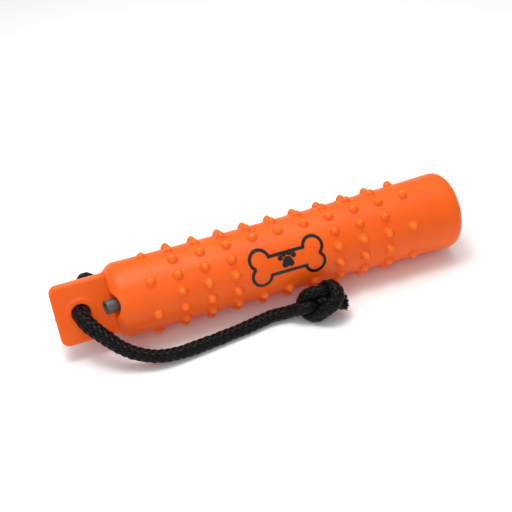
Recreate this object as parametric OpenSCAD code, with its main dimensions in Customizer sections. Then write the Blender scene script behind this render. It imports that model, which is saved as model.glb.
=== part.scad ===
// Dog training bumper: a hollow moulded body with grip knobs, a flat tab at one
// end, an inflation valve beside the tab, and a knotted throw rope in the tab.
// Millimetres, +Z up. The body lies along X, with the tab towards -X, and rests
// on two neighbouring rows of knobs.

/* [Body] */
// Outside diameter at the waist, where the body is narrowest
waist_d = 50.8; // [44:0.2:60]
// Length of the hollow body, from the tab's shoulder to the plain end
body_len = 254; // [230:1:280]
// Distance from the shoulder to the waist
waist_at = 88; // [60:1:140]
// Radius of the long shallow arc that runs along the side
side_arc_r = 4850; // [3000:50:20000]
// Rounding of the rim at the tab's shoulder
shoulder_r = 8; // [4:0.5:10]
// Rounding of the rim at the plain end
plain_end_r = 9; // [4:0.5:12]
// Thickness of the moulded wall
wall = 3.6; // [2.5:0.1:5]
// Thickness of the wall at both ends
end_wall = 6; // [4:0.5:8]

/* [Grip knobs] */
// Rows of knobs around the body
knob_rows = 14; // [14]
// Rings of knobs along the body
knob_rings = 11; // [11]
// Distance from one ring to the next
ring_pitch = 18.67; // [17:0.01:20]
// Distance from the shoulder to the first ring
first_ring = 27; // [24:0.5:32]
// Height of a knob above the wall
knob_h = 3.8; // [2:0.1:5]
// Diameter of a knob where it meets the wall
knob_d = 6.6; // [5:0.1:8]
// Diameter of a knob's rounded tip
knob_tip_d = 3.8; // [3:0.1:4.6]

/* [Tab] */
// Length of the tab from the shoulder to its free end
tab_len = 38; // [34:0.5:46]
// Width of the tab
tab_w = 42; // [38:0.5:46]
// Thickness of the tab
tab_t = 9; // [7:0.5:10]
// Radius of the tab's free corners
tab_corner_r = 5.5; // [3:0.5:9]
// Rounding of the tab's long edges and free edge
tab_edge_r = 2; // [0.5:0.25:3]
// Diameter of the rope hole
hole_d = 13; // [11:0.5:15]
// Distance from the tab's free end to the middle of the rope hole
hole_in = 17.5; // [15:0.5:20]
// Distance of the rope hole from the tab's middle line
hole_off = 1; // [0:0.5:2]
// Outside diameter of the raised ring around the rope hole
ring_d = 21; // [18:0.5:24]
// Height of the raised ring
ring_h = 0.5; // [0.2:0.1:1]

/* [Valve] */
// Outside diameter of the valve stem
stem_d = 9.7; // [8:0.1:11]
// How far the stem stands out of its pocket
stem_out = 6.2; // [4:0.1:9]
// Diameter of the pocket around the stem
pocket_d = 15.8; // [13:0.1:16]
// Depth of the pocket
pocket_depth = 3.5; // [2:0.5:4]
// Tilt of the stem away from the tab, in degrees
stem_tilt = 15; // [10:1:18]
// Diameter of the flange inside the body that holds the stem
flange_d = 15; // [13:0.5:17]
// Thickness of that flange
flange_t = 2; // [1:0.5:3]
// Diameter of the rubber core in the stem
core_d = 6.6; // [5:0.1:7]
// Depth of the cup in the stem's mouth
cup_depth = 2.6; // [1.5:0.1:4]
// Diameter of the core's needle guide
guide_d = 3.6; // [3:0.1:4.4]
// Diameter of the needle channel
needle_d = 2; // [1.6:0.1:2.4]
// Length of the needle channel
needle_len = 14; // [8:0.5:16]

/* [Rope] */
// Diameter of the rope
rope_d = 9; // [7:0.5:10]
// Size across a knot
knot_d = 27; // [24:0.5:30]
// Gap between the stopper knot and the tab
knot_gap = 0.3; // [0.1:0.1:1]

/* [Printed mark] */
// Length of the printed bone outline
mark_len = 54; // [40:1:60]
// Height of the printed bone outline
mark_h = 27; // [20:1:30]
// Width of the outline's line
mark_line = 2.2; // [1.5:0.1:3]
// Thickness of the ink
ink_t = 0.15; // [0.1:0.05:0.3]

/* [Hidden] */
$fn = 48;

total_len = body_len + tab_len;
free_end_x = -total_len / 2;
shoulder_x = free_end_x + tab_len;
plain_end_x = total_len / 2;
waist_x = shoulder_x + waist_at;
row_step = 360 / knob_rows;
// The print, the tab and the valve all face one row of knobs, one step above the horizontal.
face_tilt = row_step;
mark_ring = 5;
mark_row = 1;
clear_rings = 1;
clear_rows = 1;
side_steps = 14;
rim_steps = 5;
inner_rim_r = 4;
knob_root = 1.2;
boss_d = 19;
boss_depth = 11;
overlap = 0.5;
skin = 0.01;

function body_r(x) = waist_d / 2 + pow(x - waist_x, 2) / (2 * side_arc_r);
function ring_x(i) = shoulder_x + first_ring + i * ring_pitch;
last_ring = knob_rings - 1;
tip_r = knob_tip_d / 2;
tip_flat_r = tip_r * 0.45;
// Height of the body's axis when the lowest two rows of knobs touch the ground
axis_z = (body_r(ring_x(last_ring)) + knob_h) * cos(row_step / 2) + tip_flat_r * sin(row_step / 2);

// Outline of the body in (radius, distance along X) pairs, grown by a constant amount
function side_points(x0, x1, grow) =
    [for (i = [0:side_steps]) let (x = x0 + (x1 - x0) * i / side_steps) [body_r(x) + grow, x]];
function rim_points(cx, cr, r, from, to) =
    [for (i = [1:rim_steps - 1]) let (a = from + (to - from) * i / rim_steps)
        [cr + r * cos(a), cx + r * sin(a)]];
function body_outline(x0, x1, grow, r0, r1) = concat(
    [[0, x0], [body_r(x0 + r0) + grow - r0, x0]],
    rim_points(x0 + r0, body_r(x0 + r0) + grow - r0, r0, -90, 0),
    side_points(x0 + r0, x1 - r1, grow),
    rim_points(x1 - r1, body_r(x1 - r1) + grow - r1, r1, 0, 90),
    [[body_r(x1 - r1) + grow - r1, x1], [0, x1]]);

// Places its children on the body's axis, with their Z along X
module along_x() translate([0, 0, axis_z]) rotate([0, 90, 0]) children();
// Children's XY plane becomes the plane that the tab lies in, with +Z out of its front face
module on_face() translate([0, 0, axis_z]) rotate([90 - face_tilt, 0, 0]) children();

// Where the valve's axis crosses the shoulder: along X, across the tab, and out from its middle plane
valve_at = [shoulder_x + 1, 1.5, 17];
module on_valve() on_face() translate(valve_at) rotate([0, -90 + stem_tilt, 0]) children();

// A knob's outline in (radius, height) pairs. Its root spreads inside the wall.
knob_side_r = tip_r + 0.25;
knob_side_h = knob_h * 0.5;
knob_brow_r = tip_r * 0.86;
knob_brow_h = knob_h * 0.82;
module knob() rotate_extrude() polygon([
    [0, -knob_root], [(knob_d + knob_root) / 2, -knob_root], [knob_d / 2, 0],
    [knob_side_r, knob_side_h], [knob_brow_r, knob_brow_h], [tip_flat_r, knob_h], [0, knob_h]]);

function in_clear_patch(i, k) = abs(i - mark_ring) <= clear_rings && abs(k - mark_row) <= clear_rows;
// The first ring has only the even rows and the last ring only the odd rows, counted from the front
function has_knob(i, k) = !in_clear_patch(i, k) && !(i == 0 && k % 2 != 0) && !(i == last_ring && k % 2 == 0);

module knobs() {
    for (i = [0:last_ring]) for (k = [0:knob_rows - 1])
        if (has_knob(i, k))
            translate([ring_x(i), 0, axis_z]) rotate([90 - k * row_step, 0, 0])
                translate([0, 0, body_r(ring_x(i))]) knob();
}

// A rectangle with round corners, centred
module round_rect(w, h, r) union() {
    square([w - 2 * r, h], center = true);
    square([w, h - 2 * r], center = true);
    for (sx = [-1, 1]) for (sy = [-1, 1]) translate([sx * (w / 2 - r), sy * (h / 2 - r)]) circle(r);
}
// The tab is what three outlines have in common: seen on its face, from its free end and from its side
module tab_plate() {
    root = shoulder_r + tab_corner_r;
    plate_len = tab_len + root;
    translate([free_end_x + plate_len / 2, 0, 0]) intersection() {
        linear_extrude(tab_t, center = true) round_rect(plate_len, tab_w, tab_corner_r);
        rotate([90, 0, 90]) linear_extrude(plate_len, center = true) round_rect(tab_w, tab_t, tab_edge_r);
        rotate([90, 0, 0]) linear_extrude(tab_w, center = true) round_rect(plate_len, tab_t, tab_edge_r);
    }
}

module hole_centre() translate([free_end_x + hole_in, -hole_off, 0]) children();

module body_shell() color([0.95, 0.36, 0.12]) difference() {
    union() {
        difference() {
            union() {
                along_x() rotate_extrude($fn = 96)
                    polygon(body_outline(shoulder_x, plain_end_x, 0, shoulder_r, plain_end_r));
                on_face() tab_plate();
                on_face() hole_centre() cylinder(h = tab_t + 2 * ring_h, d = ring_d, center = true);
            }
            along_x() rotate_extrude($fn = 96) polygon(body_outline(
                shoulder_x + end_wall, plain_end_x - end_wall, -wall, inner_rim_r, inner_rim_r));
        }
        knobs();
        on_valve() translate([0, 0, -boss_depth]) cylinder(h = boss_depth - pocket_depth, d = boss_d);
    }
    on_face() hole_centre() cylinder(h = tab_t * 2, d = hole_d, center = true);
    on_valve() translate([0, 0, -pocket_depth]) cylinder(h = pocket_depth * 3, d = pocket_d);
    on_valve() translate([0, 0, -boss_depth * 2]) cylinder(h = boss_depth * 3, d = stem_d);
}

module valve_stem() color([0.41, 0.40, 0.38]) on_valve() difference() {
    union() {
        translate([0, 0, -boss_depth]) cylinder(h = boss_depth + stem_out, d = stem_d);
        translate([0, 0, -boss_depth - flange_t]) cylinder(h = flange_t, d = flange_d);
    }
    translate([0, 0, -boss_depth * 2]) cylinder(h = boss_depth * 3, d = core_d);
}

core_front = stem_out - cup_depth;
guide_len = cup_depth * 0.7;
module valve_core() color([0.47, 0.45, 0.42]) on_valve() difference() {
    union() {
        translate([0, 0, -boss_depth - flange_t])
            cylinder(h = boss_depth + flange_t + core_front, d = core_d);
        translate([0, 0, core_front - overlap]) cylinder(h = guide_len + overlap, d = guide_d);
    }
    translate([0, 0, core_front + guide_len - needle_len]) cylinder(h = needle_len + overlap, d = needle_d);
}

// A bone outline with a paw inside it, in the plane of the print
bone_lobe_r = mark_h * 0.29;
bone_bar_h = mark_h * 0.56;
// Where the two lobes of one end meet, measured from the middle
bone_cleft_x = mark_len / 2 - bone_lobe_r + sqrt(pow(bone_lobe_r, 2) - pow(mark_h / 2 - bone_lobe_r, 2));
module bone(shrink) union() {
    square([2 * (bone_cleft_x - shrink), bone_bar_h - 2 * shrink], center = true);
    for (sx = [-1, 1]) for (sy = [-1, 1])
        translate([sx * (mark_len / 2 - bone_lobe_r), sy * (mark_h / 2 - bone_lobe_r)])
            circle(bone_lobe_r - shrink);
}
pad_r = mark_h * 0.13;
toe_r = mark_h * 0.068;
toe_ring_r = mark_h * 0.215;
toe_angles = [-54, -18, 18, 54];
heel_r = pad_r * 0.62;
module paw() union() {
    circle(pad_r);
    for (s = [-1, 1]) translate([s * heel_r, -pad_r / 2]) circle(heel_r);
    for (a = toe_angles) translate([toe_ring_r * sin(a), toe_ring_r * cos(a)]) circle(toe_r);
}
// Everything within a distance of the print's place along the body, out to the side grown by an amount
module side_solid(x, reach, grow) along_x() rotate_extrude($fn = 96) polygon(concat(
    [[0, x - reach]], side_points(x - reach, x + reach, grow), [[0, x + reach]]));
module printed_mark() color([0.05, 0.05, 0.05]) intersection() {
    on_face() translate([ring_x(mark_ring), 0, 0]) linear_extrude(waist_d) union() {
        difference() {
            bone(0);
            bone(mark_line);
        }
        paw();
    }
    difference() {
        side_solid(ring_x(mark_ring), mark_len, skin + ink_t);
        side_solid(ring_x(mark_ring), mark_len + overlap, skin);
    }
}

// The rope. Its route is in (x, y, z), from its bend in front of the tab to the end knot.
rope_route = [
    [-128.5, -10, 31.4], [-126.4, -15.6, 29.3], [-123.4, -19.3, 27], [-119.4, -23.8, 24.2],
    [-115.3, -27.8, 20.8], [-111.1, -31.3, 17.4], [-106.2, -34.3, 14.3], [-100.4, -37, 11.6],
    [-93.8, -39.6, 9.4], [-86.9, -41, 7.8], [-79.3, -41.3, 6.5], [-69, -40.5, 5.4], [-58, -39, 4.9],
    [-47, -37.6, 4.7], [-35, -36, 4.7], [-24, -34.4, 4.7], [-13.5, -32.5, 4.8], [-4.5, -31.7, 5.4],
    [3, -32.2, 6], [9.4, -34.7, 7.7], [14, -38, 10.4], [18.5, -40.5, 12.4]];
end_knot_at = [27, -41.5, 13.8];
tip_at = [47, -44.5, 10.5];
end_knot_size = [knot_d * 1.22, knot_d, knot_d];
end_knot_turn = -10;
stopper_size = [knot_d, knot_d, knot_d * 0.85];
// Diameter of one lobe of a knot, a little over two passes of the rope
lobe_d = rope_d * 2.2;
// Where the stopper knot sits: its distance past the hole's middle, and behind the tab's middle plane
stopper_at = [6.5, 9.5, -tab_t / 2 - ring_h - knot_gap - stopper_size[2] / 2];
tail_len = 17;
tail_turn = -10;
rope_sides = 12;
dome_steps = [[0.94, 0.35], [0.77, 0.64], [0.42, 0.91]];

function unit(v) = v / norm(v);
function tangent(p, i) = unit(p[min(i + 1, len(p) - 1)] - p[max(i - 1, 0)]);
function ring_at(c, t, r) = let (side = unit(cross(t, [0, 0, 1])), up = cross(side, t))
    [for (j = [0:rope_sides - 1]) let (a = 360 * j / rope_sides) c + r * (cos(a) * side + sin(a) * up)];
// Rings of points along the route, with a domed start that can turn in front of the tab
function rope_rings(p, r) = concat(
    [for (d = dome_steps) ring_at(p[0] - tangent(p, 0) * d[0] * r, tangent(p, 0), d[1] * r)],
    [for (i = [0:len(p) - 1]) ring_at(p[i], tangent(p, i), r)]);
module tube(rings) {
    n = rope_sides;
    m = len(rings);
    points = [for (ring = rings) for (q = ring) q];
    walls = [for (i = [0:m - 2]) for (j = [0:n - 1])
        let (k = (j + 1) % n) [i * n + j, i * n + k, (i + 1) * n + k, (i + 1) * n + j]];
    caps = [[for (j = [n - 1:-1:0]) j], [for (j = [0:n - 1]) (m - 1) * n + j]];
    polyhedron(points, concat(walls, caps), convexity = 6);
}
module throw_rope() color([0.06, 0.06, 0.06]) tube(rope_rings(rope_route, rope_d / 2));

// The bend's distance in front of the tab's middle plane
bend_z = 9.5;
stub_top = bend_z - rope_d / 2 - knot_gap;
stub_bottom = -tab_t / 2 - ring_h - 7;
module rope_in_tab() color([0.06, 0.06, 0.06]) on_face() hole_centre()
    translate([0, 0, stub_bottom]) cylinder(h = stub_top - stub_bottom, d = rope_d);

// A knot's outer shape: four rounded lobes, one for each pass of the rope
low_lobe = [1, -0.4, -0.6];
high_lobe = [-0.3, 1, 1];
module knot(size) {
    reach = [for (v = size) (v - lobe_d) / 2];
    hull() for (s = [-1, 1]) for (lobe = [low_lobe, high_lobe])
        translate([for (i = [0:2]) s * lobe[i] * reach[i]]) sphere(d = lobe_d, $fn = 24);
}

module stopper_knot() color([0.06, 0.06, 0.06]) on_face() hole_centre()
    translate(stopper_at) knot(stopper_size);
module stopper_tail() color([0.06, 0.06, 0.06]) on_face() hole_centre()
    translate(stopper_at) rotate([tail_turn, -90, 0]) cylinder(h = tail_len, d = rope_d);

module end_knot() color([0.06, 0.06, 0.06])
    translate(end_knot_at) rotate([0, 0, end_knot_turn]) knot(end_knot_size);
// The frayed tip starts inside the knot, and is a little wider where the strands open
tip_root = 8;
tip_root_d = rope_d * 0.85;
module rope_tip() color([0.06, 0.06, 0.06]) {
    way = tip_at - end_knot_at;
    translate(end_knot_at) rotate([0, acos(way[2] / norm(way)), atan2(way[1], way[0])])
        translate([0, 0, tip_root]) cylinder(h = norm(way) - tip_root, d1 = tip_root_d, d2 = rope_d);
}

body_shell();
valve_stem();
valve_core();
printed_mark();
rope_in_tab();
stopper_knot();
stopper_tail();
throw_rope();
end_knot();
rope_tip();
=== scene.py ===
"""Looks of a dog training bumper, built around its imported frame.

Lengths are in millimetres in the row frame, and become metres where a mesh or a light is made.
The face frame lies in the tab: (x, across, out), with out square to the tab's front face.
"""

import itertools
import math

import bpy
import numpy as np
from mathutils import Matrix, Vector


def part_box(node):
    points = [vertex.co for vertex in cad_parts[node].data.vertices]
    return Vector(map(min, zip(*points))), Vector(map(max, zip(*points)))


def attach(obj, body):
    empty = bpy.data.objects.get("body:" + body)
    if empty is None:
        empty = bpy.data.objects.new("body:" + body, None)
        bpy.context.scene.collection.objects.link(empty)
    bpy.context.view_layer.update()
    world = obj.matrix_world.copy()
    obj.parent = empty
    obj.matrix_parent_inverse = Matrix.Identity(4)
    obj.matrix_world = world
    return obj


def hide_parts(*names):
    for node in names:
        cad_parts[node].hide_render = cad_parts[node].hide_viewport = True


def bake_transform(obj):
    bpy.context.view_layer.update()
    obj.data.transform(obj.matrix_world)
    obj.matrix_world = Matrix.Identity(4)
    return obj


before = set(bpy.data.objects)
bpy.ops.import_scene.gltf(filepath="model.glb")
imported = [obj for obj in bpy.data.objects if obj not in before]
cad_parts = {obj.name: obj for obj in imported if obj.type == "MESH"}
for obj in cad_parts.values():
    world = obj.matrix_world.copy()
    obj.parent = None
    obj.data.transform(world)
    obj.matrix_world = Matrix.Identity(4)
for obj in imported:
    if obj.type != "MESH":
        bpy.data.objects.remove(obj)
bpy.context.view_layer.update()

MM = 0.001
SEED = 7

# The body, with the same driving sizes as the CAD part
BODY_LEN = 254
WAIST_R = 25.4
WAIST_FROM_SHOULDER = 88
SIDE_ARC_R = 4850
SHOULDER_RIM_R = 8
PLAIN_RIM_R = 9
KNOB_ROWS = 14
KNOB_RINGS = 11
RING_PITCH = 18.67
FIRST_RING = 27
KNOB_H = 3.8
KNOB_BASE_R = 3.3
KNOB_TIP_R = 2.3
KNOB_FILLET = 0.9
# The small flat on each CAD knob's tip, which the floor touches
TIP_FLAT_R = 0.855
# The knob at the middle of the print, which is left out with its neighbours
MARK_RING = 5
MARK_ROW = 1

# The tab and its hole
TAB_W = 42
TAB_T = 9
TAB_CORNER_R = 5.5
TAB_EDGE_R = 2.2
TAB_FILLET = 3
HOLE_R = 6.5
HOLE_EDGE_R = 0.8
HOLE_FROM_END = 17.5
HOLE_ACROSS = -1
RING_R = 10.5
RING_H = 0.5
RING_FILLET = 0.6
# The moulding's gate mark at the middle of the tab's free edge: a ball sunk into it
GATE_R = 1.2
GATE_SINK = 0.7
GATE_ACROSS = -1.5
GATE_FILLET = 0.3

# The valve, with its tilt in degrees
VALVE_FROM_SHOULDER = 1
VALVE_ACROSS = 1.5
VALVE_OUT = 17
VALVE_TILT = 15
POCKET_R = 7.9
POCKET_DEPTH = 3.5
POCKET_EDGE_R = 1.4
STEM_R = 4.85
STEM_PLAY = 0.1
STEM_OUT = 6.2
STEM_IN = 11
CORE_R = 3.3
CUP_DEPTH = 2.6
GUIDE_R = 1.8
GUIDE_SHARE = 0.7
NEEDLE_R = 1

# The rope, with how far its strands lie from even: an angle, a width's share and a radius
ROPE_R = 4.5
STRANDS_EACH_WAY = 8
BRAID_PITCH = 38
STRAND_W = 2.9
STRAND_T = 1.45
STRAND_MID_R = 3.4
STRAND_LIFT = 0.6
STRAND_SIDES = 8
STRAND_SHIFT = 0.03
STRAND_WIDTH_SPREAD = 0.06
STRAND_SLACK = 0.09
SLACK_EVERY = 9
CORE_TUBE_R = 3.1
CORE_TUBE_SIDES = 16
STRAND_TONE_STEP = 0.618
ROPE_STEP = 0.8
# How much the braid swells in the hole, at its bend and in the end knot
HOLE_SWELL = 0.19
BEND_SWELL = 0.26
KNOT_SWELL = 0.1
# The loose filaments at the cut end
FRAY_COUNT = 420
FRAY_R = 0.32
FRAY_SIDES = 4
FRAY_LEN = (2.4, 4.2)
# How far the rope's surfaces stay above the floor, and off each other in a knot
FLOOR_GAP = 0.15
PRESS_GAP = 0.08

shell_low, shell_high = (np.array(corner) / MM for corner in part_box("body_shell"))
FREE_END_X, PLAIN_END_X = shell_low[0], shell_high[0]
SHOULDER_X = PLAIN_END_X - BODY_LEN
WAIST_X = SHOULDER_X + WAIST_FROM_SHOULDER
ROW_STEP = 2 * math.pi / KNOB_ROWS


def body_radius(x):
    """The body's radius at a place along it."""
    return WAIST_R + (x - WAIST_X) ** 2 / (2 * SIDE_ARC_R)


def ring_x(ring):
    """Where a ring of knobs stands along the body, counted from the tab's end."""
    return SHOULDER_X + FIRST_RING + ring * RING_PITCH


# The body lies between its two lowest rows of knobs, and its widest ring sets how high
REST_R = body_radius(ring_x(KNOB_RINGS - 1)) + KNOB_H
AXIS_Z = REST_R * math.cos(ROW_STEP / 2) + TIP_FLAT_R * math.sin(ROW_STEP / 2)
# The face frame's axes, one in each row
FACE = np.array(
    [
        [1, 0, 0],
        [0, math.sin(ROW_STEP), math.cos(ROW_STEP)],
        [0, -math.cos(ROW_STEP), math.sin(ROW_STEP)],
    ]
)
AXIS_POINT = np.array([0, 0, AXIS_Z])
HOLE_X = FREE_END_X + HOLE_FROM_END


def from_face(points):
    """Points in the face frame, taken to the row frame."""
    return np.asarray(points, float) @ FACE + AXIS_POINT


def to_face(points):
    """Points in the row frame, taken to the face frame."""
    return (points - AXIS_POINT) @ FACE.T


VALVE_POINT = from_face([SHOULDER_X + VALVE_FROM_SHOULDER, VALVE_ACROSS, VALVE_OUT])
VALVE_TURN = math.radians(VALVE_TILT)
VALVE_AXIS = np.array([-math.cos(VALVE_TURN), 0, math.sin(VALVE_TURN)]) @ FACE


# Small helpers


def metres(point):
    """A point in millimetres as a vector in metres."""
    return Vector([float(v) * MM for v in point])


def unit(vectors):
    """Vectors in the same directions, one long."""
    return vectors / np.linalg.norm(vectors, axis=-1, keepdims=True)


def new_mesh(name, points, faces):
    """A smooth-shaded mesh object from points in millimetres and faces as lists of point numbers."""
    mesh = bpy.data.meshes.new(name)
    mesh.from_pydata((np.asarray(points) * MM).tolist(), [], [list(map(int, f)) for f in faces])
    mesh.validate()
    mesh.shade_smooth()
    piece = bpy.data.objects.new(name, mesh)
    bpy.context.scene.collection.objects.link(piece)
    return piece


def add_values(piece, name, values):
    """A number at each point of a mesh, for its material."""
    layer = piece.data.attributes.new(name, "FLOAT", "POINT")
    layer.data.foreach_set("value", np.asarray(values, np.float32))


def tube_faces(rings, sides, first=0):
    """Quads of an open tube whose rings follow each other in the list of points."""
    row = np.arange(rings - 1)[:, None] * sides + first
    here = np.arange(sides)[None]
    after = (here + 1) % sides
    quads = [row + here, row + after, row + sides + after, row + sides + here]
    return np.stack(quads, axis=-1).reshape(-1, 4)


def lengths_along(line):
    """How far along a line each of its points is."""
    steps = np.linalg.norm(np.diff(line, axis=0), axis=1)
    return np.concatenate([[0], np.cumsum(steps)])


def even_line(line, step):
    """The same line with points an even step apart."""
    along = lengths_along(line)
    places = np.linspace(0, along[-1], max(2, round(along[-1] / step) + 1))
    return np.stack([np.interp(places, along, line[:, k]) for k in range(3)], axis=1)


SPLINE_PARTS = 16


def smooth_line(points, step):
    """A smooth curve through the points, with even steps."""
    points = np.asarray(points, float)
    before = 2 * points[0] - points[1]
    after = 2 * points[-1] - points[-2]
    padded = np.vstack([before, points, after])
    t = np.linspace(0, 1, SPLINE_PARTS, endpoint=False)[:, None]
    curve = []
    for a, b, c, d in zip(padded, padded[1:], padded[2:], padded[3:]):
        straight = 2 * b + (c - a) * t
        bent = (2 * a - 5 * b + 4 * c - d) * t**2 + (3 * b - a - 3 * c + d) * t**3
        curve.append((straight + bent) / 2)
    curve.append(points[-1:])
    return even_line(np.vstack(curve), step)


def ease(x, start, end):
    """0 before start, 1 after end, and smooth between them."""
    t = np.clip((x - start) / (end - start), 0, 1)
    return t * t * (3 - 2 * t)


# Camera


CAMERA_TARGET = [-4.7, 0, 29.4]
CAMERA_DISTANCE = 637
# Azimuth, elevation and roll in degrees
CAMERA_ANGLES = (-15.8, 37.29, -5.99)


def make_camera():
    """The photograph's view: slightly from the tab's side, from above, and rolled a little."""
    azimuth, elevation, roll = (math.radians(angle) for angle in CAMERA_ANGLES)
    back = Vector(
        (
            math.sin(azimuth) * math.cos(elevation),
            -math.cos(azimuth) * math.cos(elevation),
            math.sin(elevation),
        )
    )
    data = bpy.data.cameras.new("camera")
    data.sensor_width = 36
    data.lens = 64
    data.shift_x = 0.003
    data.shift_y = 0.0137
    data.clip_start = 0.05
    camera = bpy.data.objects.new("camera", data)
    camera.location = metres(CAMERA_TARGET) + back * CAMERA_DISTANCE * MM
    turn = (-back).to_track_quat("-Z", "Y").to_matrix().to_4x4() @ Matrix.Rotation(roll, 4, "Z")
    camera.rotation_euler = turn.to_euler()
    bpy.context.scene.collection.objects.link(camera)
    bpy.context.scene.camera = camera


# Rope

# The rope's route from its bend in front of the tab to the end knot, as in the CAD part
ROPE_ROUTE = [
    [-128.5, -10, 31.4], [-126.4, -15.6, 29.3], [-123.4, -19.3, 27], [-119.4, -23.8, 24.2],
    [-115.3, -27.8, 20.8], [-111.1, -31.3, 17.4], [-106.2, -34.3, 14.3], [-100.4, -37, 11.6],
    [-93.8, -39.6, 9.4], [-86.9, -41, 7.8], [-79.3, -41.3, 6.5], [-69, -40.5, 5.4], [-58, -39, 4.9],
    [-47, -37.6, 4.7], [-35, -36, 4.7], [-24, -34.4, 4.7], [-13.5, -32.5, 4.8], [-4.5, -31.7, 5.4],
]
# Where the rope goes through the tab, in the face frame, from the back to the front
ROPE_HOLE_X = HOLE_X - 0.2
ROPE_IN_HOLE = [[ROPE_HOLE_X, -1, -7], [ROPE_HOLE_X, -0.9, -1], [ROPE_HOLE_X, -1.3, 5]]
# An overhand knot, from where the rope comes in to its cut end, about the knot's middle
KNOT_ROUTE = [
    [-22.5, 7.5, -8], [-19, 6, -6.5], [-15.5, 3, -4], [-12, 0.5, -2], [-9, -0.5, -2], [-5, 0.5, -4],
    [-0.5, 2, -6], [5, 3, -5.5], [7.5, 3.5, -3], [7, 3.5, 0.5], [3.5, 3, 3.5], [-1, 3.5, 5.5],
    [-5.5, 4.5, 5.5], [-9.5, 6, 2.5], [-12, 6.5, -2.5], [-11.5, 5.5, -7.5], [-9, 2.5, -9],
    [-5.5, -1.5, -7.5], [-2, -5, -4.5], [1.5, -7, -1.5], [6, -7.5, 1.5], [9, -6, 4], [10.5, -3.5, 5],
    [10, 1, 5.5], [7.5, 5.5, 3.5], [5, 9, 0.5], [1, 9, -2], [-2, 7, -3.5], [-2.5, 3, -2.5],
    [1, 0, -1], [5.5, -2, -1.5], [9.5, -3, -2.5], [12.5, -3.5, -3.5], [16.5, -4, -3.5],
]
END_KNOT_AT = np.array([28.4, -40.8, 14.2])
KNOT_STEP = 1.5
KNOT_GAP = 7.2
# Points of a line count as another pass from this many gaps along it
PASS_GAPS = 1.7
TIGHTEN_ROUNDS = 300
# Each round's share of smoothing and evening, and of going back to where the line was
TIGHTEN_SHARE = 0.25
HOME_SHARE = 0.15


def tightened(line, gap, step, held):
    """A knotted line with its passes pushed a gap apart, kept smooth, even and near where it was.

    Its first points are held.
    """
    home = line.copy()
    order = np.arange(len(line))
    apart = np.abs(order[:, None] - order[None]) >= math.ceil(PASS_GAPS * gap / step)
    for _ in range(TIGHTEN_ROUNDS):
        between = line[:, None] - line[None]
        distance = np.linalg.norm(between, axis=2) + 1e-9
        push = np.where(apart, np.maximum(gap - distance, 0), 0)
        touching = np.maximum((push > 0).sum(axis=1), 1)[:, None]
        line = line + ((push / distance)[:, :, None] * between).sum(axis=1) / (2 * touching)
        line[1:-1] += TIGHTEN_SHARE * ((line[:-2] + line[2:]) / 2 - line[1:-1])
        line += HOME_SHARE * (home - line)
        stretch = np.diff(line, axis=0)
        stretch *= TIGHTEN_SHARE * (1 - step / np.linalg.norm(stretch, axis=1, keepdims=True))
        line[:-1] += stretch
        line[1:] -= stretch
        line[:held] = home[:held]
    return line


def across_line(line):
    """Unit vectors along a line, and two across it that turn with it as little as they can."""
    ahead = unit(np.gradient(line, axis=0))
    side = np.empty_like(line)
    side[0] = unit(np.cross(ahead[0], [0, 0.3, 1]))
    for i in range(1, len(line)):
        side[i] = unit(side[i - 1] - ahead[i] * (side[i - 1] @ ahead[i]))
    return ahead, side, np.cross(ahead, side)


def tube_rings(line, radius, side, up, sides):
    """Rings round a line, with a radius at each of its points."""
    around = np.linspace(0, 2 * math.pi, sides, endpoint=False)
    return (
        line[:, None]
        + (radius * np.cos(around))[:, :, None] * side[:, None]
        + (radius * np.sin(around))[:, :, None] * up[:, None]
    )


def strand_rings(line, across, swell, way, number, rng):
    """The rings of one strand of the braid, which goes over two strands and under two."""
    _, side, up = across
    turn = 2 * math.pi * lengths_along(line) / BRAID_PITCH
    crossing = 2 * number + way * STRANDS_EACH_WAY * turn / math.pi
    lift = way * np.cos(math.pi / 2 * (crossing - 0.5))
    start = 2 * math.pi * number / STRANDS_EACH_WAY + rng.normal(0, STRAND_SHIFT)
    angle = way * turn + start
    out = np.cos(angle)[:, None] * side + np.sin(angle)[:, None] * up
    places = SLACK_EVERY * np.arange(len(line) // SLACK_EVERY + 2)
    slack = np.interp(np.arange(len(line)), places, rng.normal(0, STRAND_SLACK, len(places)))
    radius = (STRAND_MID_R + STRAND_LIFT * lift + slack) * swell
    middle = line + radius[:, None] * out
    heading = unit(np.gradient(middle, axis=0))
    flat = unit(np.cross(out, heading))
    raised = np.cross(heading, flat)
    width = STRAND_W / 2 * swell * rng.uniform(1 - STRAND_WIDTH_SPREAD, 1 + STRAND_WIDTH_SPREAD)
    around = np.linspace(0, 2 * math.pi, STRAND_SIDES, endpoint=False)
    return (
        middle[:, None]
        + (width[:, None] * np.cos(around))[:, :, None] * flat[:, None]
        + (STRAND_T / 2 * np.sin(around))[None, :, None] * raised[:, None]
    )


def braid_tubes(line, swell, first=0, last=None):
    """The tubes of a braid on part of a line: a list of (rings, strand number).

    Strand 0 is the plain core, which closes the gaps between the other strands.
    """
    rng = np.random.default_rng(SEED)
    across = across_line(line)
    part = slice(first, last)
    _, side, up = across
    core = tube_rings(line, CORE_TUBE_R * swell[:, None], side, up, CORE_TUBE_SIDES)
    tubes = [(core[part], 0)]
    for way in (1, -1):
        for number in range(STRANDS_EACH_WAY):
            rings = strand_rings(line, across, swell, way, number, rng)[part]
            tubes.append((rings, len(tubes)))
    return tubes


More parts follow.
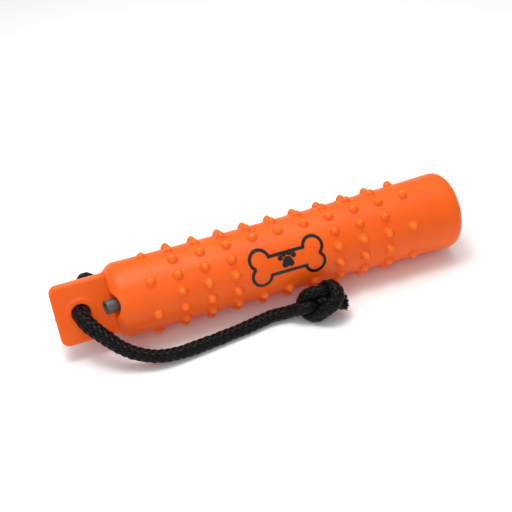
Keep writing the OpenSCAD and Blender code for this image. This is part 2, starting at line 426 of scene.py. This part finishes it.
def frayed_ends(line, rng):
    """Loose filaments at the rope's cut end, as thin tubes."""
    ahead, side, up = (vectors[-1] for vectors in across_line(line))
    tubes = []
    for _ in range(FRAY_COUNT):
        angle = rng.uniform(0, 2 * math.pi)
        spread = math.sqrt(rng.uniform(0, 1))
        out = math.cos(angle) * side + math.sin(angle) * up
        start = line[-1] + out * spread * ROPE_R * 0.9 - ahead * 2
        aim = unit(ahead + out * spread * rng.uniform(0.1, 0.6) + rng.normal(0, 0.1, 3))
        bend = rng.normal(0, 0.35, 3)
        reach = rng.uniform(*FRAY_LEN)
        t = np.linspace(0, 1, 5)[:, None]
        middle = start + aim * t * reach + bend * t**2
        _, one, two = across_line(middle)
        rings = tube_rings(middle, FRAY_R * (1 - 0.3 * t), one, two, FRAY_SIDES)
        tubes.append((rings, int(rng.integers(1, 2 * STRANDS_EACH_WAY + 1))))
    return tubes


POINTS_AT_ONCE = 5000


def kept_apart(points, own, line):
    """Points of a knot's surface, flattened where one pass of the rope presses on another.

    Each point's own place on the line is given by number.
    """
    order = np.arange(len(line))
    far = math.ceil(PASS_GAPS * KNOT_GAP / ROPE_STEP)
    for start in range(0, len(points), POINTS_AT_ONCE):
        part = slice(start, start + POINTS_AT_ONCE)
        p = points[part]
        mine = own[part]
        distance = np.linalg.norm(p[:, None] - line[None], axis=2)
        distance = np.where(np.abs(mine[:, None] - order[None]) < far, np.inf, distance)
        other = distance.argmin(axis=1)
        apart = line[mine] - line[other]
        size = np.linalg.norm(apart, axis=1)
        over = ((p - line[mine]) ** 2).sum(axis=1) - ((p - line[other]) ** 2).sum(axis=1)
        move = np.maximum(over / (2 * size) + PRESS_GAP, 0)
        points[part] = p + (move / size)[:, None] * apart
    return points


def strand_map(rings):
    """UVs for each corner of a tube's faces: the share round the strand, and millimetres along it."""
    rows, sides = rings.shape[:2]
    along = lengths_along(rings.mean(axis=1))[:, None]
    here = np.broadcast_to(np.arange(sides) / sides, (rows - 1, sides))
    after = here + 1 / sides
    start, end = along[:-1], along[1:]
    corners = [(here, start), (after, start), (after, end), (here, end)]
    return np.stack([np.stack(np.broadcast_arrays(u, v), -1) for u, v in corners], axis=2)


def rope_piece(name, tubes, line=None, first=0):
    """One mesh of rope tubes with a map along its strands; a knot also gives its line, to press flat on."""
    points, faces, own, strand, uvs = [], [], [], [], []
    count = 0
    for rings, number in tubes:
        rows, sides = rings.shape[:2]
        points.append(rings.reshape(-1, 3))
        faces.append(tube_faces(rows, sides, count))
        own.append(np.repeat(np.arange(rows) + first, sides))
        strand.append(np.full(rows * sides, number * STRAND_TONE_STEP % 1))
        uvs.append(strand_map(rings))
        count += rows * sides
    points = np.vstack(points)
    if line is not None:
        points = kept_apart(points, np.concatenate(own), line)
    points[:, 2] = np.maximum(points[:, 2], FLOOR_GAP)
    piece = new_mesh(name, points, np.vstack(faces))
    layer = piece.data.uv_layers.new(name="strand_map")
    layer.data.foreach_set("uv", np.concatenate([uv.reshape(-1) for uv in uvs]).astype(np.float32))
    add_values(piece, "strand", np.concatenate(strand))
    return piece


def rope_swell(line, knot_start):
    """How much wider the braid is than usual.

    It fills the hole, bunches up where it bends or is knotted, and varies a little everywhere.
    """
    along = lengths_along(line)
    in_knot = along - along[knot_start]
    swell = 1 + HOLE_SWELL * (1 - ease(along, 10, 16))
    swell += BEND_SWELL * (1 - ease(along, 22, 62))
    swell += KNOT_SWELL * ease(in_knot, 60, 80)
    return swell * (1 + 0.015 * np.sin(along / 7.3) + 0.012 * np.sin(along / 3.1 + 1))


def make_throw_rope():
    """The rope from the hole to its end knot, which bends where it leaves the tab."""
    knot = END_KNOT_AT + tightened(smooth_line(KNOT_ROUTE, KNOT_STEP), KNOT_GAP, KNOT_STEP, held=6)
    way = np.vstack([from_face(ROPE_IN_HOLE), ROPE_ROUTE, knot[::2]])
    line = smooth_line(way, ROPE_STEP)
    to_knot = np.linalg.norm(line - knot[0], axis=1).argmin() + 4
    swell = rope_swell(line, to_knot)
    run = rope_piece("throw_rope_braid", braid_tubes(line, swell, 0, to_knot + 1))
    end = rope_piece("end_knot_braid", braid_tubes(line, swell, to_knot), line, to_knot)
    fray = rope_piece("rope_end_fray", frayed_ends(line, np.random.default_rng(SEED)))
    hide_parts("throw_rope", "rope_in_tab")
    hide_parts("end_knot", "rope_tip")
    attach(end, "rope")
    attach(fray, "rope")
    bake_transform(run)
    return [run, end, fray]


# The stopper knot's middle in the face frame, and how tightly it is drawn up
STOPPER_AT = np.array([-120, 7.5, -17])
STOPPER_SIZE = 0.9
# The knot presses on the raised ring behind the tab
STOPPER_FRONT = -TAB_T / 2 - RING_H - 0.05
# The rope between the hole and the stopper knot, in the face frame
STOPPER_LEAD = [[HOLE_X, HOLE_ACROSS, -3], [HOLE_X + 0.8, 1, -8]]


def make_stopper_knot():
    """The knot behind the tab: the end knot's shape, turned so that its rope comes from the hole."""
    loops = tightened(smooth_line(KNOT_ROUTE[5:], KNOT_STEP), KNOT_GAP, KNOT_STEP, held=2)
    turned = STOPPER_AT + STOPPER_SIZE * np.stack([loops[:, 2], loops[:, 1], -loops[:, 0]], axis=1)
    line = smooth_line(from_face(np.vstack([STOPPER_LEAD, turned[2::2]])), ROPE_STEP)
    piece = rope_piece("stopper_knot_braid", braid_tubes(line, np.ones(len(line))), line)
    for vertex in piece.data.vertices:
        place = to_face(np.array(vertex.co) / MM)
        place[2] = min(place[2], STOPPER_FRONT)
        vertex.co = metres(from_face(place))
    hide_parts("stopper_knot", "stopper_tail")
    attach(piece, "bumper")
    return piece


# Shell

GRID = 0.62
# A vertex moves onto the surface in a few steps, and stays within this share of a cell from its middle
SURFACE_STEPS = 5
VERTEX_REACH = 0.75
# Distance given for a knob that isn't there, which is too far for a fillet
NO_KNOB = 9.0


def round_both(a, b, radius):
    """What two solids share, with a round edge."""
    inside = np.minimum(np.maximum(a, b), -radius)
    return inside + np.hypot(np.maximum(a + radius, 0), np.maximum(b + radius, 0))


def round_either(a, b, radius):
    """Two solids as one, with a fillet between them."""
    return -round_both(-a, -b, radius)


def knob_field(x, across, out):
    """Distance to the knob whose place on the body is nearest, as a cone with a round tip."""
    ring = np.clip(np.round((x - ring_x(0)) / RING_PITCH), 0, KNOB_RINGS - 1)
    angle = np.arctan2(across, out)
    row = np.round(angle / ROW_STEP)
    off = angle - row * ROW_STEP
    radius = np.hypot(across, out)
    wide = np.hypot(x - ring_x(ring), radius * np.sin(off))
    high = radius * np.cos(off) - body_radius(ring_x(ring))
    length = KNOB_H - KNOB_TIP_R
    slope = (KNOB_BASE_R - KNOB_TIP_R) / length
    flank = math.sqrt(1 - slope**2)
    place = high * flank - wide * slope
    cone = np.where(
        place < 0,
        np.hypot(wide, high) - KNOB_BASE_R,
        np.where(
            place > flank * length,
            np.hypot(wide, high - length) - KNOB_TIP_R,
            wide * flank + high * slope - KNOB_BASE_R,
        ),
    )
    faced = row % KNOB_ROWS
    count = (faced + MARK_ROW) % KNOB_ROWS
    gone = (ring == 0) & (count % 2 == 1) | (ring == KNOB_RINGS - 1) & (count % 2 == 0)
    near_row = np.minimum(faced, KNOB_ROWS - faced) <= 1
    gone |= (np.abs(ring - MARK_RING) <= 1) & near_row
    return np.where(gone, NO_KNOB, cone)


def tab_field(x, across, out):
    """Distance to the tab with the raised rings round its hole, which is still closed."""
    plan = round_both(np.abs(across) - TAB_W / 2, FREE_END_X - x, TAB_CORNER_R)
    plan = np.maximum(plan, x - SHOULDER_X - 2 * SHOULDER_RIM_R)
    plate = round_both(plan, np.abs(out) - TAB_T / 2, TAB_EDGE_R)
    from_hole = np.hypot(x - HOLE_X, across - HOLE_ACROSS)
    ring = round_both(from_hole - RING_R, np.abs(out) - TAB_T / 2 - RING_H, RING_H)
    return round_either(plate, ring, RING_FILLET)


def shell_field(points):
    """Signed distance to the moulding's outside, with fillets where its shapes meet."""
    x, across, out = to_face(points).T
    side = np.hypot(across, out) - body_radius(x)
    body = round_both(side, x - PLAIN_END_X, PLAIN_RIM_R)
    body = round_both(body, SHOULDER_X - x, SHOULDER_RIM_R)
    field = round_either(body, knob_field(x, across, out), KNOB_FILLET)
    field = round_either(field, tab_field(x, across, out), TAB_FILLET)
    from_hole = np.hypot(x - HOLE_X, across - HOLE_ACROSS)
    field = round_both(field, HOLE_R - from_hole, HOLE_EDGE_R)
    reach = points - VALVE_POINT
    depth = reach @ VALVE_AXIS
    wide = np.sqrt(np.maximum((reach**2).sum(axis=1) - depth**2, 0))
    field = round_both(field, np.minimum(POCKET_R - wide, depth + POCKET_DEPTH), POCKET_EDGE_R)
    channel = np.maximum(wide - STEM_R - STEM_PLAY, -depth - STEM_IN)
    gate = np.sqrt((x - FREE_END_X - GATE_SINK) ** 2 + (across - GATE_ACROSS) ** 2 + out**2) - GATE_R
    return round_either(np.maximum(field, -channel), gate, GATE_FILLET)


def field_values(field, low, counts, step):
    """A field on a grid, one slab at a time."""
    y, z = (low[i] + step * np.arange(counts[i]) for i in (1, 2))
    places = np.stack(np.meshgrid(y, z, indexing="ij"), -1)
    slabs = []
    for i in range(counts[0]):
        x = np.full((*places.shape[:2], 1), low[0] + step * i)
        slabs.append(field(np.concatenate([x, places], axis=2).reshape(-1, 3)))
    return np.stack(slabs).reshape(counts)


def slope_of(field, points, reach=0.05):
    """The field's slope at each point, from values close by."""
    slopes = []
    for axis in np.eye(3) * reach:
        slopes.append((field(points + axis) - field(points - axis)) / (2 * reach))
    return np.stack(slopes, axis=1)


def net_faces(inside, number):
    """Quads round every grid edge that goes from inside to outside, facing out."""
    faces = []
    for axis in range(3):
        first, second = (axis + 1) % 3, (axis + 2) % 3
        here = np.take(inside, range(inside.shape[axis] - 1), axis)
        there = np.take(inside, range(1, inside.shape[axis]), axis)
        cells = np.argwhere(here != there)
        du, dv = np.eye(3, dtype=int)[[first, second]]
        ring = [cells - du - dv, cells - dv, cells, cells - du]
        quads = np.stack([number[tuple(c.T)] for c in ring], axis=1)
        leaving = here[tuple(cells.T)]
        faces.append(np.where(leaving[:, None], quads, quads[:, ::-1]))
    return np.vstack(faces)


def net_surface(field, low, high, step):
    """A smooth quad mesh of where the field is zero, between two corners."""
    counts = np.ceil((high - low) / step).astype(int) + 1
    inside = field_values(field, low, counts, step) < 0
    sides = (slice(None, -1), slice(1, None))
    corners = list(itertools.product(sides, repeat=3))
    total = sum(inside[corner].astype(int) for corner in corners)
    cells = np.argwhere((total > 0) & (total < len(corners)))
    number = np.full(total.shape, -1)
    number[tuple(cells.T)] = np.arange(len(cells))
    centre = low + step * (cells + 0.5)
    points = centre.copy()
    for _ in range(SURFACE_STEPS):
        slope = slope_of(field, points)
        size = np.maximum((slope**2).sum(axis=1), 0.2)
        points -= (field(points) / size)[:, None] * slope
        points = centre + np.clip(points - centre, -VERTEX_REACH * step, VERTEX_REACH * step)
    return points, net_faces(inside, number)


def make_shell():
    """The moulding's outside as one smooth skin, which carries the knobs' height for its material."""
    margin = 2
    points, faces = net_surface(shell_field, shell_low - margin, shell_high + margin, GRID)
    piece = new_mesh("moulded_body", points, faces)
    x, across, out = to_face(points).T
    above = (np.hypot(across, out) - body_radius(x)) / KNOB_H
    on_body = x > ring_x(0) - 8
    add_values(piece, "knob_height", np.where(on_body, np.clip(above, 0, 1), 0))
    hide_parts("body_shell")
    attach(piece, "bumper")
    return piece


# Valve


def turned_piece(name, outline, origin, axis, sides=72):
    """A closed lathe shape: the outline's (radius, height) pairs turned about an axis."""
    side = unit(np.cross(axis, [0, 0, 1]))
    up = np.cross(axis, side)
    around = np.linspace(0, 2 * math.pi, sides, endpoint=False)
    spoke = np.cos(around)[:, None] * side + np.sin(around)[:, None] * up
    rings = [origin + height * axis + radius * spoke for radius, height in outline]
    faces = tube_faces(len(outline) + 1, sides) % (len(outline) * sides)
    return new_mesh(name, np.vstack(rings), faces[:, ::-1])


def stem_outline():
    """The stem's wall, with a fine step round its outside near the mouth."""
    lip_r = STEM_R - 0.12
    return [
        (STEM_R, -STEM_IN),
        (STEM_R, STEM_OUT - 0.9),
        (lip_r, STEM_OUT - 0.8),
        (lip_r, STEM_OUT),
        (CORE_R + 0.25, STEM_OUT),
        (CORE_R, STEM_OUT - 0.4),
        (CORE_R, -STEM_IN),
    ]


def core_outline():
    """The rubber core, with its raised needle guide and its narrow needle channel."""
    edge_r = CORE_R - 0.02
    front = STEM_OUT - CUP_DEPTH
    tip = front + CUP_DEPTH * GUIDE_SHARE
    return [
        (edge_r, -STEM_IN),
        (edge_r, front + 0.1),
        (CORE_R - 0.7, front + 0.35),
        (GUIDE_R + 0.55, front),
        (GUIDE_R, front + 0.15),
        (GUIDE_R - 0.05, tip - 0.2),
        (GUIDE_R - 0.3, tip),
        (NEEDLE_R + 0.1, tip - 0.15),
        (NEEDLE_R * 0.6, tip - 1),
        (NEEDLE_R * 0.5, -STEM_IN),
    ]


def round_edges(piece, width):
    """Rounds a piece's sharp edges."""
    bevel = piece.modifiers.new("round_edges", "BEVEL")
    bevel.width = width * MM
    bevel.segments = 3
    bevel.limit_method = "ANGLE"


def make_valve():
    """The stem and the core, turned about the valve's axis."""
    stem = turned_piece("valve_stem_rim", stem_outline(), VALVE_POINT, VALVE_AXIS)
    core = turned_piece("valve_core_plug", core_outline(), VALVE_POINT, VALVE_AXIS)
    round_edges(stem, 0.25)
    for piece, node in ((stem, "valve_stem"), (core, "valve_core")):
        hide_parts(node)
        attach(piece, "bumper")
    return stem, core


# Materials


class Nodes:
    """Short ways to build one material's nodes."""

    # The colour sockets of a Mix node, and its result
    MIX_ONE = 6
    MIX_TWO = 7
    MIX_RESULT = 2

    def __init__(self, name):
        self.material = bpy.data.materials.new(name)
        self.material.use_nodes = True
        self.tree = self.material.node_tree
        self.shader = self.tree.nodes["Principled BSDF"]

    def add(self, kind, **settings):
        """A new node with some of its settings."""
        node = self.tree.nodes.new(kind)
        for key, value in settings.items():
            setattr(node, key, value)
        return node

    def link(self, source, target):
        self.tree.links.new(source, target)

    def value(self, socket, number):
        """Sets a number or colour that is the same all over."""
        self.shader.inputs[socket].default_value = number

    def noise(self, where, scale, detail=3, roughness=0.5):
        """Cloudy noise, with its scale in the units of the place it is given."""
        node = self.add("ShaderNodeTexNoise")
        node.inputs["Scale"].default_value = scale
        node.inputs["Detail"].default_value = detail
        node.inputs["Roughness"].default_value = roughness
        self.link(where, node.inputs["Vector"])
        return node.outputs["Fac"]

    def spread(self, source, low, high, to_low=0.0, to_high=1.0):
        """A range of values spread over another range."""
        node = self.add("ShaderNodeMapRange")
        values = (low, high, to_low, to_high)
        for socket, number in zip(("From Min", "From Max", "To Min", "To Max"), values):
            node.inputs[socket].default_value = number
        self.link(source, node.inputs["Value"])
        return node.outputs["Result"]

    def mix(self, share, one, two):
        """A colour between two, each a colour or a socket."""
        node = self.add("ShaderNodeMix", data_type="RGBA")
        for socket, colour in ((self.MIX_ONE, one), (self.MIX_TWO, two)):
            if isinstance(colour, tuple):
                node.inputs[socket].default_value = (*colour, 1)
            else:
                self.link(colour, node.inputs[socket])
        self.link(share, node.inputs[0])
        return node.outputs[self.MIX_RESULT]

    def times(self, source, factor):
        """A value times a number."""
        node = self.add("ShaderNodeMath", operation="MULTIPLY")
        self.link(source, node.inputs[0])
        node.inputs[1].default_value = factor
        return node.outputs[0]

    def bump(self, height, strength, distance_mm, after=None):
        """A surface raised by a height, on top of another bump if one is given."""
        node = self.add("ShaderNodeBump")
        node.inputs["Strength"].default_value = strength
        node.inputs["Distance"].default_value = distance_mm * MM
        self.link(height, node.inputs["Height"])
        if after is not None:
            self.link(after, node.inputs["Normal"])
        return node.outputs["Normal"]

    def attribute(self, name):
        """A number that the mesh carries."""
        return self.add("ShaderNodeAttribute", attribute_name=name).outputs["Fac"]

    def object_place(self):
        """The place on the object, in metres."""
        return self.add("ShaderNodeTexCoord").outputs["Object"]


def vinyl_material():
    """Soft translucent vinyl: painted lighter and yellower at the knobs' tips as painted light, a little
    mottled, with a fine moulded grain.

    The fluorescent safety-orange pigment is stood in for by a weak red glow, which is painted light: it
    glows even in shade and lifts the shaded sides redder.
    """
    n = Nodes("orange_vinyl")
    place = n.object_place()
    mottle = n.spread(n.noise(place, 22, 4), 0.35, 0.65)
    base = n.mix(mottle, (0.66, 0.1, 0.003), (0.7, 0.115, 0.005))
    # Painted light: the knobs' tips are made lighter and yellower, as if lit through the thin vinyl
    painted_tip_light = n.spread(n.attribute("knob_height"), 0.15, 1)
    colour = n.mix(painted_tip_light, base, (0.74, 0.155, 0.01))
    dust = n.spread(n.noise(place, 180, 5, 0.6), 0.62, 0.8, 0, 0.12)
    colour = n.mix(dust, colour, (0.8, 0.25, 0.08))
    n.link(colour, n.shader.inputs["Base Color"])
    rough = n.spread(n.noise(place, 60, 4), 0.3, 0.7, 0.36, 0.46)
    n.link(rough, n.shader.inputs["Roughness"])
    grain = n.bump(n.noise(place, 1500, 2), 0.12, 0.05)
    waves = n.bump(n.noise(place, 90, 2), 0.12, 0.4, grain)
    n.link(waves, n.shader.inputs["Normal"])
    n.value("Subsurface Weight", 0.55)
    n.value("Subsurface Radius", (1.0, 0.28, 0.06))
    n.value("Subsurface Scale", 3.5 * MM)
    n.value("IOR", 1.5)
    n.value("Specular IOR Level", 0.24)
    # Painted light: a weak red glow all over, which lifts the shaded sides redder
    n.value("Emission Color", (1, 0.02, 0, 1))
    n.value("Emission Strength", 0.12)
    return n.material


def rope_material():
    """Black fibre: fine filaments along each strand, with some strands duller than others."""
    n = Nodes("black_braid")
    uv = n.add("ShaderNodeUVMap", uv_map="strand_map").outputs["UV"]
    stretch = n.add("ShaderNodeMapping")
    stretch.inputs["Scale"].default_value = (9, 0.35, 1)
    n.link(uv, stretch.inputs["Vector"])
    fibres = n.noise(stretch.outputs["Vector"], 2.2, 3, 0.65)
    place = n.object_place()
    patches = n.spread(n.noise(place, 130, 3), 0.35, 0.7)
    fibre_tone = n.mix(n.spread(fibres, 0.35, 0.7), (0.0016, 0.0015, 0.0013), (0.006, 0.0057, 0.005))
    worn = n.mix(n.times(patches, 0.35), fibre_tone, (0.012, 0.012, 0.0105))
    colour = n.mix(n.spread(n.attribute("strand"), 0, 1, 0, 0.35), worn, (0.002, 0.002, 0.0018))
    n.link(colour, n.shader.inputs["Base Color"])
    n.link(n.spread(fibres, 0.3, 0.7, 0.38, 0.22), n.shader.inputs["Roughness"])
    n.link(n.bump(fibres, 0.55, 0.25), n.shader.inputs["Normal"])
    n.value("Specular IOR Level", 0.1)
    n.value("Sheen Weight", 0.01)
    n.value("Sheen Roughness", 0.4)
    return n.material


def ink_material():
    """Pad-printed ink with a slight gloss, thin in places."""
    n = Nodes("black_ink")
    place = n.object_place()
    thin = n.spread(n.noise(place, 420, 4, 0.7), 0.6, 0.78, 0, 0.35)
    colour = n.mix(thin, (0.008, 0.007, 0.007), (0.05, 0.016, 0.008))
    n.link(colour, n.shader.inputs["Base Color"])
    n.link(n.spread(n.noise(place, 160, 3), 0.3, 0.7, 0.3, 0.45), n.shader.inputs["Roughness"])
    n.link(n.bump(n.noise(place, 600, 2), 0.15, 0.04), n.shader.inputs["Normal"])
    n.value("Specular IOR Level", 0.3)
    return n.material


def rubber_material(name, dark, light, rough):
    """Moulded grey rubber or plastic, lightly scuffed."""
    n = Nodes(name)
    place = n.object_place()
    scuff = n.spread(n.noise(place, 300, 5, 0.65), 0.35, 0.75)
    n.link(n.mix(scuff, dark, light), n.shader.inputs["Base Color"])
    sheen = n.spread(n.noise(place, 700, 3), 0.3, 0.7, rough - 0.06, rough + 0.08)
    n.link(sheen, n.shader.inputs["Roughness"])
    n.link(n.bump(n.noise(place, 1800, 2), 0.25, 0.05), n.shader.inputs["Normal"])
    return n.material


def paint(material, slot, *pieces):
    """Gives pieces a material; the slot argument is not used."""
    for piece in pieces:
        piece.data.materials.clear()
        piece.data.materials.append(material)


# Floor and lights


FLOOR_HALF = 3000


def make_floor():
    """A wide plain floor, nearly white."""
    n = Nodes("pale_floor")
    clouds = n.spread(n.noise(n.object_place(), 3, 2), 0.3, 0.7)
    n.link(n.mix(clouds, (0.86, 0.86, 0.86), (0.88, 0.88, 0.88)), n.shader.inputs["Base Color"])
    n.value("Roughness", 0.7)
    n.value("Specular IOR Level", 0.2)
    signs = ((-1, -1), (1, -1), (1, 1), (-1, 1))
    corners = [[x * FLOOR_HALF, y * FLOOR_HALF, 0] for x, y in signs]
    floor = new_mesh("floor", corners, [[0, 1, 2, 3]])
    floor.data.materials.append(n.material)


LIGHT_TARGET = [0, 0, 20]


def area_light(name, place, width, depth, power):
    """A rectangular white light that faces the object, with its power in watts."""
    data = bpy.data.lights.new(name, "AREA")
    data.shape = "RECTANGLE"
    data.size = width * MM
    data.size_y = depth * MM
    data.energy = power
    light = bpy.data.objects.new(name, data)
    light.location = metres(place)
    aim = metres(LIGHT_TARGET) - light.location
    light.rotation_euler = aim.to_track_quat("-Z", "Y").to_euler()
    bpy.context.scene.collection.objects.link(light)


def make_lights():
    """Soft studio light: a wide box overhead with a small one beside it, one in front, and a pale room."""
    area_light("overhead", [-50, 150, 1000], 1200, 900, 7.6)
    area_light("key", [-150, 50, 1000], 260, 260, 3)
    area_light("front_fill", [-350, -850, 800], 1100, 900, 3.2)
    world = bpy.data.worlds.new("room")
    world.use_nodes = True
    back = world.node_tree.nodes["Background"]
    back.inputs["Color"].default_value = (1, 1, 1, 1)
    back.inputs["Strength"].default_value = 0.5
    bpy.context.scene.world = world
    bpy.context.scene.view_settings.view_transform = "Standard"


make_camera()
stopper_knot = make_stopper_knot()
rope_pieces = [stopper_knot, *make_throw_rope()]
shell = make_shell()
valve_stem, valve_core = make_valve()
paint(rope_material(), "rope", *rope_pieces)
paint(vinyl_material(), "vinyl", shell)
stem_material = rubber_material("grey_stem", (0.06, 0.053, 0.05), (0.095, 0.085, 0.08), 0.4)
core_material = rubber_material("grey_core", (0.05, 0.045, 0.042), (0.09, 0.08, 0.075), 0.5)
paint(stem_material, "valve_grey", valve_stem)
paint(core_material, "valve_rubber", valve_core)
paint(ink_material(), "ink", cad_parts["printed_mark"])
make_floor()
make_lights()
